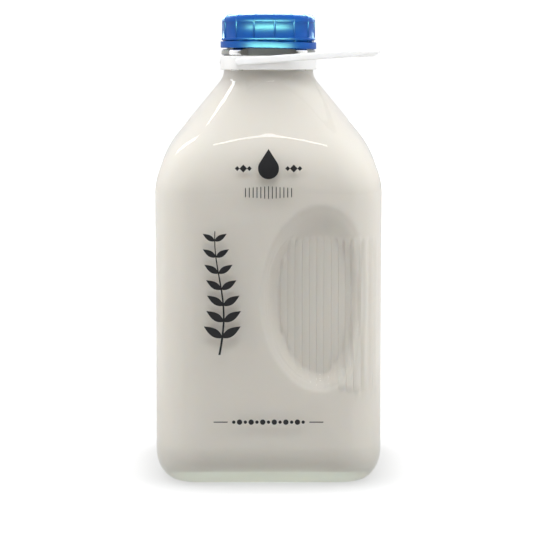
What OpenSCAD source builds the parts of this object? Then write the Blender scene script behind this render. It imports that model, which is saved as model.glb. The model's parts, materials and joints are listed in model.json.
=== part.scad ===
// Half-gallon square glass milk bottle, filled with milk, closed with a ribbed plastic cap
// and carried by a plastic collar with a swinging bail.
// Frame: +Z up, origin on the bottle's axis in the plane it stands on.
// -Y is the front, +X the side that the hand and the bail reach from. Millimetres.

/* [Body] */
// Width of the square body across its flats
body_w = 115; // [95:1:140]
// Plan radius of the four upright corners
corner_r = 22.5; // [16:0.5:30]
// Thickness of the glass wall
wall = 4.2; // [3:0.1:5]
// Height at which the body ends and the shoulder starts to curve in
shoulder_z = 147.4; // [130:0.2:180]
// Radius of the shoulder's outward curve, seen from the side
shoulder_r = 45; // [30:1:55]
// Lean of the shoulder's straight stretch from upright, in degrees
shoulder_lean = 39.6; // [34:0.2:48]
// Radius of the hollow curve where the shoulder meets the neck
neck_fillet = 9; // [5:0.5:14]

/* [Base] */
// Thickness of the glass floor
base_t = 7.5; // [4:0.5:9]
// How far the heel curves in at the bottom
heel_in = 11; // [6:0.5:14]
// How high up the body the heel's curve reaches
heel_rise = 16; // [10:0.5:22]
// Width of the flat ring that the bottle stands on
stand_ring = 6; // [3:0.5:10]
// Height of the hollow under the base
push_up = 3.5; // [1:0.5:5]

/* [Neck and mouth] */
// Radius of the neck where the collar rides
neck_r = 23; // [20:0.5:27.5]
// Radius of the mouth's bore
mouth_r = 19.5; // [16:0.5:21]
// Height from the foot of the neck to the lip
finish_h = 26.5; // [23:0.5:34]
// How far the ring of glass under the cap stands out from the neck
bead_out = 1.6; // [1:0.1:2.5]
// Height of that ring of glass
bead_h = 3.2; // [2.4:0.1:4]

/* [Milk] */
// Height of the milk's surface above the foot of the neck
fill_up = 9.1; // [2:0.1:16]

/* [Grip] */
// Depth of each grip hollow
grip_depth = 8; // [4:0.5:10]
// Height of the grip's middle
grip_z = 95.6; // [88:0.2:98]
// Distance of the grip's middle from the bottle's axis
grip_x = 27; // [24:0.5:30]
// Half the height of a grip hollow
grip_half_h = 45.8; // [36:0.2:48]
// Reach of a grip hollow from its middle towards the bottle's axis
grip_reach_in = 30.6; // [24:0.2:34]
// Reach of a grip hollow from its middle towards the corner
grip_reach_out = 26.4; // [22:0.2:28]
// Number of upright ribs in each grip
rib_count = 13; // [7:1:13]
// Distance between neighbouring ribs
rib_pitch = 3.64; // [3:0.02:3.7]
// Height of a rib above the glass
rib_h = 0.6; // [0.3:0.1:1]

/* [Cap] */
// Wall thickness of the cap's skirt
cap_wall = 1.3; // [1:0.1:2]
// Thickness of the cap's top
cap_top_t = 2; // [1.4:0.1:3]
// Radius that rounds the cap's top edge
cap_round = 3.2; // [1.5:0.1:4]
// Number of panels round the cap, each between two ribs
cap_panels = 14; // [10:1:20]
// Width of each rib on the cap
cap_rib_w = 1.2; // [0.8:0.1:2]
// How far each rib stands out
cap_rib_out = 0.5; // [0.3:0.1:1]
// Height of the tamper band
band_h = 3.3; // [2:0.1:5]
// How far the tamper band stands out past the cap's panels
band_out = 1.1; // [0.5:0.1:1.6]
// Gap between the cap and its tamper band, crossed by small bridges
band_gap = 1; // [0.6:0.1:2]

/* [Handle] */
// Height of the collar round the neck
collar_h = 7.1; // [5:0.1:8.5]
// Thickness of the collar's wall
collar_wall = 1.8; // [1.4:0.1:3]
// Distance of the bail's pivots behind the bottle's axis
pivot_back = 15; // [8:0.5:17]
// Reach of the bail from the bottle's axis
bail_reach = 57.5; // [48:0.5:70]
// Thickness of each arm of the bail
arm_t = 2.4; // [1.8:0.1:3.5]
// Height of each arm of the bail
arm_h = 3.7; // [3:0.1:5]
// Width of the bail's finger bar
grip_bar_w = 6.7; // [5:0.1:9]
// Height of the bail's finger bar
grip_bar_h = 4.8; // [4:0.1:6]
// Angle at which the bail rests above level, in degrees
bail_tilt = 4.2; // [0:0.1:10]
// Radius of the studs that the bail turns on
stud_r = 1.1; // [0.8:0.1:1.3]

/* [Clearances] */
// Gap between the neck and the collar, all round
collar_gap = 0.3; // [0.2:0.05:0.6]
// Gap between the glass finish and the cap's skirt
cap_gap = 0.3; // [0.2:0.05:0.6]
// Gap between the collar's studs and their holes, all round
stud_gap = 0.08; // [0.04:0.02:0.1]
// Gap between the faces of the bail and of the collar's bosses
arm_gap = 0.3; // [0.2:0.05:0.6]

/* [Hidden] */
$fn = 96;

half_w = body_w / 2;
// The corners' centres stand this far from the axis, both ways.
corner_c = half_w - corner_r;
// Going up the shoulder the section turns from square to round, quickly at first.
rounding = 0.7;
// The glass foot of the neck is this much wider than the neck itself.
neck_step = 0.3;
foot_r = neck_r + neck_step;

// Shoulder: a convex arc, a straight stretch and a hollow arc, tangent to each other.
lean_run = (half_w - shoulder_r + shoulder_r * cos(shoulder_lean)
            - foot_r - neck_fillet + neck_fillet * cos(shoulder_lean)) / sin(shoulder_lean);
neck_z = shoulder_z + shoulder_r * sin(shoulder_lean) + lean_run * cos(shoulder_lean)
         + neck_fillet * sin(shoulder_lean);
lip_z = neck_z + finish_h;

// Glass ring under the cap, and the finish above it that the cap fits over.
collar_z = neck_z + collar_gap;
bead_z = collar_z + collar_h + collar_gap;
bead_r = neck_r + bead_out;
finish_r = neck_r - 1.4;
snap_out = 0.6;
neck_sunk = 1.5;

// Cap, seated on the lip.
cap_in_r = finish_r + snap_out + cap_gap;
cap_r = cap_in_r + cap_wall;
cap_top_z = lip_z + cap_top_t;
band_z = bead_z + bead_h + cap_gap;
cap_z = band_z + band_h + band_gap;
cap_rim_h = 1.2;
cap_rib_top_r = 0.84 * cap_r;
bridge_w = 0.9;

// Collar and bail.
collar_in_r = neck_r + collar_gap;
collar_r = collar_in_r + collar_wall;
pivot_z = collar_z + collar_h * 0.58;
arm_in = collar_r + 0.5;
arm_out = arm_in + arm_t;
boss_r = arm_h / 2 + 0.15;
stud_len = arm_t * 0.75;
bail_len = bail_reach + pivot_back;
bail_round = 16;

function smooth(t) = let (u = min(1, max(0, t))) u * u * (3 - 2 * u);
function reversed(list) = [for (i = [len(list) - 1 : -1 : 0]) list[i]];

// ---- Outline of the glass, seen from the side ---------------------------------------
// Each ring is [half width, height, distance of the corners' centres from the axis,
// how far the section has turned from square to round].
// inset is 0 for the outer face and the wall's thickness for the inner one.

// The ring of the shoulder whose outer face has the half width outer_w.
function shoulder_ring(w, z, outer_w, inset) =
    [w, z, corner_c * w / (half_w - inset),
     pow(min(1, max(0, (half_w - outer_w) / (half_w - foot_r))), rounding)];

function shoulder_outline(inset, arc_steps, fillet_steps) =
    let (reach = shoulder_r - inset,
         hollow = neck_fillet + inset,
         start = [half_w - shoulder_r, shoulder_z],
         end = [foot_r + neck_fillet, neck_z],
         out = [cos(shoulder_lean), sin(shoulder_lean)],
         foot = end - hollow * out)
    concat(
        [for (i = [0 : arc_steps])
            let (t = shoulder_lean * i / arc_steps, p = start + reach * [cos(t), sin(t)])
            shoulder_ring(p[0], p[1], start[0] + shoulder_r * cos(t), inset)],
        [shoulder_ring(foot[0], foot[1], foot[0] + inset * out[0], inset)],
        [for (i = [1 : fillet_steps])
            let (t = shoulder_lean * (1 - i / fillet_steps), p = end - hollow * [cos(t), sin(t)])
            shoulder_ring(p[0], p[1], end[0] - neck_fillet * cos(t), inset)]);

// The heel curves from the wall down to the floor at height z.
function heel_outline(w, z, run, rise, steps) =
    [for (i = [0 : steps])
        let (t = 90 * i / steps)
        [w - run * (1 - sin(t)), z + rise * (1 - cos(t)), corner_c, 0]];

// Rings that close a floor: each is a smaller copy of the ring it starts from.
function floor_outline(w, z, crown, steps) =
    [for (i = [1 : steps])
        let (k = i / (steps + 0.5))
        [w * k, z + crown * (1 - k * k), corner_c * k, 0]];

// Levels across the grip, evenly spaced.
function grip_levels(steps) =
    [for (i = [-steps : steps]) grip_z + grip_half_h * i / steps];

function body_outline(w, levels) = [for (z = levels) [w, z, corner_c, 0]];

// ---- Grip ---------------------------------------------------------------------------

floor_in = 0.70;   // share of each reach that is the hollow's level floor
floor_out = 0.38;
floor_up = 0.65;
floor_down = 0.83;

// How deep the hollow is at a place on the flat: 1 on its floor, 0 outside it.
function hollow(x, z) =
    let (dx = x - grip_x,
         dz = z - grip_z,
         reach = dx < 0 ? grip_reach_in : grip_reach_out,
         level_x = reach * (dx < 0 ? floor_in : floor_out),
         level_z = grip_half_h * (dz < 0 ? floor_down : floor_up),
         edge = norm([dx / reach, dz / grip_half_h]),
         level = norm([dx / level_x, dz / level_z]))
    edge >= 1 ? 0 :
    level <= 1 ? 1 :
    1 - smooth((level - 1) * edge / (level - edge));

rib_top = grip_z + 28.8;
rib_half_h = 44;
rib_reach = grip_reach_in * 0.71;
rib_first = grip_x - 19.4;

// Highest and lowest point of the rib at x.
function rib_span(x) =
    let (t = min(1, max(0, (grip_x - x) / rib_reach)),
         h = rib_half_h * sqrt(1 - t * t))
    [grip_z - h - 0.2 * max(0, x - grip_x), min(rib_top, grip_z + h)];

function rib_here(x, z) =
    let (span = rib_span(x))
    z > span[0] && z < span[1] ? rib_h : 0;

// ---- Sections -----------------------------------------------------------------------
// A column is [x share, y share, direction, crest]: the shares place the corner's centre
// or a point along a flat, the direction is the wall's outward one, and crest is 1 on
// the top of a rib.

function flat_column(x, crest = 0) = [x / corner_c, -1, 270, crest];
function corner_column(x, crest = 0) =
    [1, -1, 360 - acos((x - corner_c) / corner_r), crest];
function column_at(x, crest) =
    x < corner_c ? flat_column(x, crest) : corner_column(x, crest);

// From the middle of the left flat, round the front, to the middle of the right flat.
outer_half = concat(
    [[-1, 0, 180, 0]],
    [for (a = [180 : 22.5 : 270]) [-1, -1, a, 0]],
    [for (x = [-22, -10, -3.6, -0.5, 2.5]) flat_column(grip_x - 27 + x)],
    [for (i = [0 : 2 * rib_count])
        column_at(rib_first + (i - 1) * rib_pitch / 2, i % 2)],
    [for (a = [336 : 12 : 360]) [1, -1, a, 0]],
    [[1, 0, 360, 0]]);

inner_half = concat(
    [[-1, 0, 180, 0]],
    [for (a = [180 : 22.5 : 270]) [-1, -1, a, 0]],
    [for (x = [-12, -2, 4, 10, 18, 26, 32]) flat_column(grip_x - 27 + x)],
    [for (a = [288 : 18 : 360]) [1, -1, a, 0]],
    [[1, 0, 360, 0]]);

// The whole way round: the back is the front's mirror image.
function all_round(half) = concat(
    half,
    [for (i = [len(half) - 2 : -1 : 1])
        [half[i][0], -half[i][1], 360 - half[i][2], half[i][3]]]);

// One column's point on a ring of the outline: on its rounded square, raised by a rib,
// drawn towards a circle, and pressed in by the grips. The inner face is pressed by as
// much again, and wide enough to keep the wall's thickness.
function place(column, ring, inset) =
    let (w = ring[0], z = ring[1], c = ring[2], r = w - c,
         a = column[2],
         lift = column[3] * rib_here(column[0] * c + r * cos(a), z),
         square_x = column[0] * c + (r + lift) * cos(a),
         square_y = column[1] * c + (r + lift) * sin(a),
         round = 1 - ring[3] + ring[3] * w / norm([square_x, square_y]),
         x = square_x * round,
         y = square_y * round,
         k = inset == 0 ? 1 : 1 + 0.6 * inset / grip_half_h,
         h = hollow(grip_x + (x - grip_x) / k, grip_z + (z - grip_z) / k),
         pressed = half_w - inset - grip_depth * h + lift,
         deep = h > 0 && abs(y) > pressed ? pressed : abs(y))
    [x, y < 0 ? -deep : deep, z];

// A closed solid from rings, lowest first, each with the same columns.
module skin(rings, columns, inset) {
    n = len(columns);
    m = len(rings);
    points = [for (ring = rings) each [for (column = columns) place(column, ring, inset)]];
    sides = [for (j = [0 : m - 2]) each [for (i = [0 : n - 1])
        let (a = j * n + i, b = j * n + (i + 1) % n)
        each [[a, a + n, b + n], [a, b + n, b]]]];
    bottom = [[for (i = [0 : n - 1]) i]];
    top = [[for (i = [n : -1 : 1]) (m - 1) * n + i % n]];
    polyhedron(points = points, faces = concat(sides, bottom, top), convexity = 6);
}

// ---- Bottle -------------------------------------------------------------------------

stand_w = half_w - heel_in;

module outer_body() {
    rings = concat(
        heel_outline(half_w, 0, heel_in, heel_rise, 4),
        body_outline(half_w, grip_levels(8)),
        shoulder_outline(0, 6, 3));
    skin(rings, all_round(outer_half), 0);
}

// Hollow under the base, inside the ring that it stands on.
module under_base() {
    w = stand_w - stand_ring;
    skin(concat(
            [[w + 0.4, -0.4, corner_c - stand_ring, 0]],
            [[w, 0, corner_c - stand_ring, 0]],
            reversed(floor_outline(w, 0, push_up, 2))),
         all_round(inner_half), 0);
}

// Everything that the glass holds, up to just above the foot of the neck.
floor_w = half_w - wall - heel_in * 0.85;
module cavity() {
    skin(concat(
            floor_outline(floor_w, base_t, push_up * 0.6, 3),
            heel_outline(half_w - wall, base_t, heel_in * 0.85, heel_rise * 0.8, 3),
            body_outline(half_w - wall, grip_levels(6)),
            shoulder_outline(wall, 4, 3),
            [[foot_r - wall, neck_z + 1, corner_c, 1]]),
         all_round(inner_half), wall);
}

module neck_profile() {
    edge = 1;
    difference() {
        union() {
            translate([mouth_r, neck_z - neck_sunk])
                square([neck_r - mouth_r, bead_z + 1 - neck_z + neck_sunk]);
            translate([mouth_r, neck_z - neck_sunk])
                square([finish_r - mouth_r, finish_h + neck_sunk - edge]);
            translate([mouth_r + edge, lip_z - edge - 0.01])
                square([finish_r - mouth_r - 2 * edge, edge + 0.01]);
            translate([mouth_r + edge, lip_z - edge]) circle(edge);
            translate([finish_r - edge, lip_z - edge]) circle(edge);
            // The ring under the cap: rounded outside, sloping in above.
            translate([bead_r - bead_h / 3, bead_z + bead_h / 3]) circle(bead_h / 3);
            polygon([[mouth_r + 1, bead_z], [bead_r - bead_h / 3, bead_z],
                     [bead_r - 0.1, bead_z + bead_h * 0.45],
                     [finish_r - 0.1, bead_z + bead_h], [mouth_r + 1, bead_z + bead_h]]);
            // The snap ring that holds the cap.
            translate([finish_r + snap_out - 0.8, lip_z - 5]) circle(0.8);
        }
        translate([0, lip_z - finish_h - 20]) square([mouth_r, finish_h + 40]);
    }
}

module bottle() {
    color([0.85, 0.9, 0.87, 0.5])
    union() {
        difference() {
            outer_body();
            cavity();
            under_base();
        }
        rotate_extrude() neck_profile();
    }
}

// ---- Milk ---------------------------------------------------------------------------

module milk() {
    color([0.93, 0.91, 0.87])
    union() {
        cavity();
        translate([0, 0, neck_z]) cylinder(r = mouth_r, h = fill_up);
    }
}

// ---- Cap ----------------------------------------------------------------------------

// Outer shape of the cap, out to a radius that the ribs exceed.
module cap_outline(r) {
    top = cap_top_z - (cap_r - r) * 0.4;
    translate([0, cap_z]) square([r, top - cap_z - cap_round]);
    translate([0, cap_z]) square([r - cap_round, top - cap_z]);
    translate([r - cap_round, top - cap_round]) circle(cap_round);
}

module cap_shell_profile() {
    difference() {
        union() {
            intersection() {
                cap_outline(cap_r);
                translate([0, cap_z]) square([cap_r, cap_top_z - cap_z]);
            }
            translate([cap_r - 1, cap_z]) square([1 + cap_rib_out, cap_rim_h]);
        }
        translate([0, cap_z - 1]) square([cap_in_r, lip_z - cap_z + 1]);
    }
}

module cap_ribs() {
    inner = cap_rib_top_r;
    intersection() {
        rotate_extrude() difference() {
            cap_outline(cap_r + cap_rib_out);
            translate([0, cap_z]) square([inner, cap_top_z - cap_z + 1]);
            translate([0, cap_z]) square([cap_r - cap_wall / 2, lip_z - cap_z + cap_top_t / 4]);
        }
        union() for (i = [0 : cap_panels - 1])
            rotate([0, 0, -90 + 360 * (i + 0.3) / cap_panels])
                translate([inner - 1, -cap_rib_w / 2, cap_z])
                    cube([cap_r - inner + 3, cap_rib_w, cap_top_z - cap_z + 1]);
    }
}

module tamper_band() {
    translate([0, 0, band_z]) difference() {
        cylinder(r = cap_r + band_out, h = band_h);
        translate([0, 0, -1]) cylinder(r = cap_in_r, h = band_h + 2);
    }
    for (i = [0 : cap_panels - 1])
        rotate([0, 0, 360 * i / cap_panels])
            translate([cap_in_r + 0.2, -bridge_w / 2, band_z + band_h - 0.5])
                cube([cap_wall - 0.3, bridge_w, band_gap + 1]);
}

module cap() {
    color([0.13, 0.42, 0.78])
    union() {
        rotate_extrude() cap_shell_profile();
        cap_ribs();
        tamper_band();
    }
}

// ---- Collar and bail ----------------------------------------------------------------

// A cylinder along Y on the pivots' line, from y0 to y1, on the side given by side.
module across(side, r, y0, y1) {
    translate([-pivot_back, side * y0, pivot_z])
        rotate([-90 * side, 0, 0]) cylinder(r = r, h = y1 - y0);
}

module collar() {
    edge = 0.5;
    color([0.9, 0.9, 0.88])
    difference() {
        union() {
            rotate_extrude() translate([collar_in_r - 0.5, collar_z]) union() {
                translate([0, edge]) square([collar_wall + 0.5, collar_h - 2 * edge]);
                square([collar_wall + 0.5 - edge, collar_h]);
                for (z = [edge, collar_h - edge])
                    translate([collar_wall + 0.5 - edge, z]) circle(edge);
            }
            for (side = [-1, 1]) {
                across(side, boss_r, collar_r * 0.6, arm_in - arm_gap);
                across(side, stud_r, collar_r * 0.6, arm_in + stud_len);
            }
        }
        translate([0, 0, collar_z - 1]) cylinder(r = collar_in_r, h = collar_h + 2);
    }
}

// Plan of the bail: a loop with its far corners rounded, open towards the pivots.
module loop_plan(len, half, r) {
    translate([0, -half]) square([len - r, 2 * half]);
    translate([0, r - half]) square([len, 2 * (half - r)]);
    for (side = [-1, 1]) translate([len - r, side * (half - r)]) circle(r);
}

module bail_plan() {
    difference() {
        loop_plan(bail_len, arm_out, bail_round);
        translate([-1, 0]) loop_plan(bail_len - grip_bar_w + 1, arm_in, bail_round - arm_t);
    }
}

module bail() {
    color([0.94, 0.94, 0.93])
    translate([-pivot_back, 0, pivot_z]) rotate([0, -bail_tilt, 0])
    difference() {
        union() {
            translate([0, 0, -arm_h / 2]) linear_extrude(arm_h) bail_plan();
            translate([0, 0, -grip_bar_h / 2]) linear_extrude(grip_bar_h) intersection() {
                bail_plan();
                translate([bail_len - 13, -50]) square([20, 100]);
            }
            for (side = [-1, 1])
                translate([0, side * arm_in, 0]) rotate([-90 * side, 0, 0])
                    cylinder(r = boss_r, h = arm_t);
        }
        for (side = [-1, 1])
            translate([0, side * (arm_in - 1), 0]) rotate([-90 * side, 0, 0])
                cylinder(r = stud_r + stud_gap, h = stud_len + 1 + stud_gap);
    }
}

bottle();
milk();
cap();
collar();
bail();
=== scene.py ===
import json
import math

import bpy
import numpy as np
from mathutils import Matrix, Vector
from bpy.props import FloatProperty, FloatVectorProperty, IntProperty, PointerProperty

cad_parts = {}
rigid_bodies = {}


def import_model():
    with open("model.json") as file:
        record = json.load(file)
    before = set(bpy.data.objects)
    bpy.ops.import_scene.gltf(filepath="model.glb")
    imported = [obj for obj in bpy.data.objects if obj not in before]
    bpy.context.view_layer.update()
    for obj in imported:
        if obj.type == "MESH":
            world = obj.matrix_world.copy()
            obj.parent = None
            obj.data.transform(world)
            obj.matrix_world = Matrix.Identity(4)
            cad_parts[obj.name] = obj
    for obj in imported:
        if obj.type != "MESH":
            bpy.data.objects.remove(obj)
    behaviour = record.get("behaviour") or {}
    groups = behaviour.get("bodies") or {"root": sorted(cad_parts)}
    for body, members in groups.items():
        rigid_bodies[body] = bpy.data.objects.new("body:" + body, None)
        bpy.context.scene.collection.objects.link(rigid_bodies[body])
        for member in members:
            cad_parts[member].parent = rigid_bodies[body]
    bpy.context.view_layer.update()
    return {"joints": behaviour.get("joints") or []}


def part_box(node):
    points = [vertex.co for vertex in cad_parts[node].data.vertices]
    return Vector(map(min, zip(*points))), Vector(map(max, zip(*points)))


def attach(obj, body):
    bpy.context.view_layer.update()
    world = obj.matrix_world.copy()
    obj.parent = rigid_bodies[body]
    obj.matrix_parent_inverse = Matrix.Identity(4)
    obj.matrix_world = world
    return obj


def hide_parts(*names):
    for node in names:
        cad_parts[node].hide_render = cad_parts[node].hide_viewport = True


bl_info = {
    "name": "Glass milk bottle",
    "version": (1, 0, 0),
    "blender": (4, 5, 0),
    "location": "View3D > Sidebar > Milk bottle",
    "description": "Builds a full square milk bottle with its cap, neck collar and carrying bail",
    "category": "Object",
}

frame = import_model()

# ---- Places taken from the frame ------------------------------------------------------

GLASS_LOW, GLASS_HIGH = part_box("bottle")
MILK_LOW, MILK_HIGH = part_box("milk")
CAP_LOW, CAP_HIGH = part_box("cap")
COLLAR_LOW, COLLAR_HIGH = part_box("collar")
BAIL_LOW, BAIL_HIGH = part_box("bail")
JOINTS = {joint["name"]: joint for joint in frame["joints"]}
PIVOT = JOINTS["bail_lift"]["pos_m"]
MM = 0.001

HALF_W = GLASS_HIGH.x
LIP_Z = GLASS_HIGH.z

# Shares of the grip's reaches that its level floor takes up.
LEVEL_IN, LEVEL_OUT, LEVEL_UP, LEVEL_DOWN = 0.70, 0.44, 0.65, 0.83
# The inside's heel and floor, as shares of the outside's: depth, rise and push-up.
HEEL_IN, HEEL_RISE, CROWN = 0.85, 0.8, 0.6
CAP_SEGMENTS = 168


def mm(default, name, description, **more):
    """A length property, given here in millimetres and kept in metres."""
    return FloatProperty(name=name, description=description, default=default * MM,
                         unit="LENGTH", precision=5, **more)


def metres(default, name, description):
    """A length property whose default comes from the frame or is given in metres."""
    return FloatProperty(name=name, description=description, default=default, unit="LENGTH", precision=5)


def degrees(default, name, description):
    """An angle property, given here in degrees and kept in radians."""
    return FloatProperty(name=name, description=description, default=math.radians(default),
                         subtype="ANGLE")


def colour(default, name, description):
    """A linear colour property."""
    return FloatVectorProperty(name=name, description=description, default=default,
                               subtype="COLOR", size=3, min=0, max=1)


class BottleGlass(bpy.types.PropertyGroup):
    """Sizes and colour of the glass bottle."""

    corner_r: mm(22.5, "Corner radius", "Plan radius of the four upright corners")
    wall: metres(HALF_W - MILK_HIGH.x, "Wall", "Thickness of the glass wall")
    base_t: metres(MILK_LOW.z, "Floor", "Thickness of the glass floor")
    shoulder_z: mm(147.4, "Shoulder height", "Height at which the shoulder starts to curve in")
    shoulder_r: mm(45, "Shoulder radius", "Radius of the shoulder's outward curve from the side")
    lean: degrees(39.6, "Shoulder lean", "Lean of the shoulder's straight stretch")
    rounding: FloatProperty(name="Rounding", default=0.7, min=0.2, max=2,
                            description="How soon the shoulder's section turns from square to round")
    fillet: mm(9, "Neck fillet", "Radius of the hollow curve where the shoulder meets the neck")
    neck_r: mm(23, "Neck radius", "Radius of the neck where the collar rides")
    mouth_r: mm(19.5, "Mouth radius", "Radius of the mouth's bore")
    bead_out: mm(1.6, "Ring reach", "How far the ring of glass under the cap stands out")
    bead_h: mm(3.2, "Ring height", "Height of the ring of glass under the cap")
    heel_in: mm(11, "Heel depth", "How far the heel curves in at the bottom")
    heel_rise: mm(16, "Heel height", "How high the heel's curve reaches")
    stand_ring: mm(6, "Standing ring", "Width of the flat ring that the bottle stands on")
    push_up: mm(3.5, "Push-up", "Height of the hollow under the base")
    tint: colour((0.925, 0.965, 0.935), "Tint", "Colour of the glass")


class GripHollow(bpy.types.PropertyGroup):
    """Sizes of the hand-grip hollows on the front and the back."""

    depth: mm(8, "Depth", "Depth of each hollow")
    x: mm(27, "Middle", "Distance of the hollow's middle from the axis")
    z: mm(95.6, "Height", "Height of the hollow's middle")
    half_h: mm(45.8, "Half height", "Half the height of a hollow")
    reach_in: mm(30.6, "Reach in", "Reach from the middle towards the axis")
    reach_out: mm(26.4, "Reach out", "Reach from the middle towards the corner")
    ribs: IntProperty(name="Ribs", description="Number of upright ribs", default=14, min=1)
    rib_pitch: mm(3.64, "Rib pitch", "Distance between neighbouring ribs")
    rib_h: mm(0.8, "Rib height", "Height of a rib above the glass")
    rib_w: mm(3.2, "Rib width", "Width of a rib")


class MilkFill(bpy.types.PropertyGroup):
    """Look of the milk."""

    reach: mm(0.3, "Reach", "How far the milk reaches into the wall, so that no gap shows")
    colour: colour((0.86, 0.80, 0.752), "Colour", "Colour of the milk")
    level: metres(MILK_HIGH.z, "Level", "Height of the milk's surface")
    film: mm(3.2, "Film", "How far a film of milk clings to the bore above the surface")


class CapSizes(bpy.types.PropertyGroup):
    """Sizes and colour of the cap and its tamper band."""

    top_round: mm(3.2, "Edge radius", "Radius that rounds the cap's top edge")
    panels: IntProperty(name="Panels", description="Panels round the cap", default=14, min=6)
    rib_w: mm(1.0, "Rib width", "Width of each rib")
    rib_out: mm(0.45, "Rib reach", "How far each rib stands out")
    band_h: mm(3.45, "Band height", "Height of the tamper band")
    band_out: mm(1.1, "Band reach", "How far the tamper band stands out past the panels")
    band_gap: mm(0.45, "Band gap", "Gap between the cap and the band")
    band_tilt: degrees(0.9, "Band tilt", "How far the loose band has dropped at its right")
    colour: colour((0.004, 0.085, 0.42), "Colour", "Colour of the cap's plastic")


class HandleSizes(bpy.types.PropertyGroup):
    """Sizes and colours of the neck collar and the bail."""

    arm_t: mm(2.4, "Arm thickness", "Thickness of each arm of the bail")
    arm_h: mm(3.7, "Arm height", "Height of each arm of the bail")
    bar_w: mm(6.7, "Bar width", "Width of the bail's finger bar")
    bar_h: mm(4.8, "Bar height", "Height of the bail's finger bar")
    tilt: degrees(4.2, "Bail tilt", "Angle at which the bail rests above level")
    corner: mm(16, "Corner radius", "Outer radius of the bail's two far corners")
    stud_r: mm(1.1, "Stud radius", "Radius of the studs that the bail turns on")
    collar_colour: colour((0.9, 0.895, 0.88), "Collar colour", "Colour of the collar's plastic")
    bail_colour: colour((0.9, 0.9, 0.897), "Bail colour", "Colour of the bail's plastic")


class PrintSizes(bpy.types.PropertyGroup):
    """Sizes and colour of the plain marks printed on the front."""

    leaf_pairs: IntProperty(name="Leaf pairs", description="Pairs of leaves on the sprig", default=7, min=2)
    dots: IntProperty(name="Dots", description="Dots in the lower row", default=13, min=3)
    ink_t: mm(0.06, "Ink thickness", "Thickness of the printed ink")
    ink: colour((0.012, 0.012, 0.014), "Ink", "Colour of the printed ink")


class StageSetting(bpy.types.PropertyGroup):
    """The camera, the floor and the lights."""

    distance: metres(1.0, "Camera distance", "Distance of the camera from the bottle's axis")
    eye: metres(0.213, "Camera height", "Height of the camera above the floor")
    aside: mm(-1, "Camera aside", "Sideways place of the camera")
    down: degrees(6.15, "Camera pitch", "How far the camera looks down")
    lens: FloatProperty(name="Lens", default=128.9, description="Focal length in millimetres")


GROUPS = {"mb_glass": BottleGlass, "mb_grip": GripHollow, "mb_milk": MilkFill, "mb_cap": CapSizes,
          "mb_handle": HandleSizes, "mb_print": PrintSizes, "mb_stage": StageSetting}


# ---- Mesh helpers ---------------------------------------------------------------------

def placed(name, data):
    """A new object in the scene, at the origin."""
    obj = bpy.data.objects.new(name, data)
    bpy.context.scene.collection.objects.link(obj)
    return obj


def new_object(name, vertices, faces, material, smooth=True):
    """A mesh object at the origin, with one material."""
    mesh = bpy.data.meshes.new(name)
    mesh.from_pydata([tuple(v) for v in vertices], [], [tuple(f) for f in faces])
    mesh.validate()
    mesh.polygons.foreach_set("use_smooth", [smooth] * len(mesh.polygons))
    mesh.materials.append(material)
    mesh.update()
    return placed(name, mesh)


def grid_faces(rings, columns, first=0, flip=False):
    """Quads between neighbouring rings that close on themselves."""
    j, i = np.meshgrid(np.arange(rings - 1), np.arange(columns), indexing="ij")
    a = first + j * columns + i
    b = first + j * columns + (i + 1) % columns
    quads = np.stack([a, b, b + columns, a + columns], axis=-1).reshape(-1, 4)
    return (quads[:, ::-1] if flip else quads).tolist()


def fan_faces(centre, ring, flip=False):
    """Triangles from a centre point to a closed ring of indices."""
    out = [[centre, ring[i], ring[(i + 1) % len(ring)]] for i in range(len(ring))]
    return [f[::-1] for f in out] if flip else out


def tube(rings, flip=False):
    """Vertices and faces through rings of equally many points, with both ends closed."""
    count, n = len(rings), len(rings[0])
    first, last = list(range(n)), list(range((count - 1) * n, count * n))
    ends = [first, last[::-1]] if flip else [first[::-1], last]
    return np.concatenate(rings), grid_faces(count, n, flip=flip) + ends


def zip_faces(points, low, high):
    """Triangles between two closed rings with different numbers of points, matched by angle."""
    a, b = [np.unwrap(np.arctan2(points[ring, 1], points[ring, 0])) for ring in (low, high)]
    b = b - round((b[0] - a[0]) / (2 * math.pi)) * 2 * math.pi
    a, b = np.append(a, a[0] + 2 * math.pi), np.append(b, b[0] + 2 * math.pi)
    i = j = 0
    faces = []
    while i < len(low) or j < len(high):
        p, q = low[i % len(low)], high[j % len(high)]
        if j >= len(high) or (i < len(low) and a[i + 1] <= b[j + 1]):
            faces.append([p, low[(i + 1) % len(low)], q])
            i += 1
        else:
            faces.append([p, high[(j + 1) % len(high)], q])
            j += 1
    return faces


def lathe(profile, segments):
    """Vertices and quads of a closed outline of (radius, height), turned round the axis.
    The outline runs anticlockwise, seen with the radius to the right."""
    profile = np.asarray(profile, float)
    turn = np.arange(segments) * 2 * math.pi / segments
    x = profile[:, None, 0] * np.cos(turn)
    y = profile[:, None, 0] * np.sin(turn)
    z = np.repeat(profile[:, None, 1], segments, axis=1)
    vertices = np.stack([x, y, z], axis=-1).reshape(-1, 3)
    faces = np.array(grid_faces(len(profile) + 1, segments)) % len(vertices)
    return vertices, faces.tolist()


def arc(centre, radius, start, end, steps):
    """Points of an arc in the plane, angles in degrees."""
    t = np.radians(np.linspace(start, end, steps + 1))
    return [(centre[0] + radius * math.cos(a), centre[1] + radius * math.sin(a)) for a in t]


def ring_outline(inner, outer, low, high, r, steps, face=()):
    """Outline of a plain ring with round edges; face holds more points up its outer side."""
    soft = 0.3 * MM
    out = arc((outer - r, low + r), r, -90, 0, steps) + list(face)
    out += arc((outer - r, high - r), r, 0, 90, steps)
    out += arc((inner + soft, high - soft), soft, 90, 180, 3)
    return out + arc((inner + soft, low + soft), soft, 180, 270, 3)


def smooth(t):
    """A soft step from 0 to 1."""
    t = np.clip(t, 0, 1)
    return t * t * (3 - 2 * t)


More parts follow.
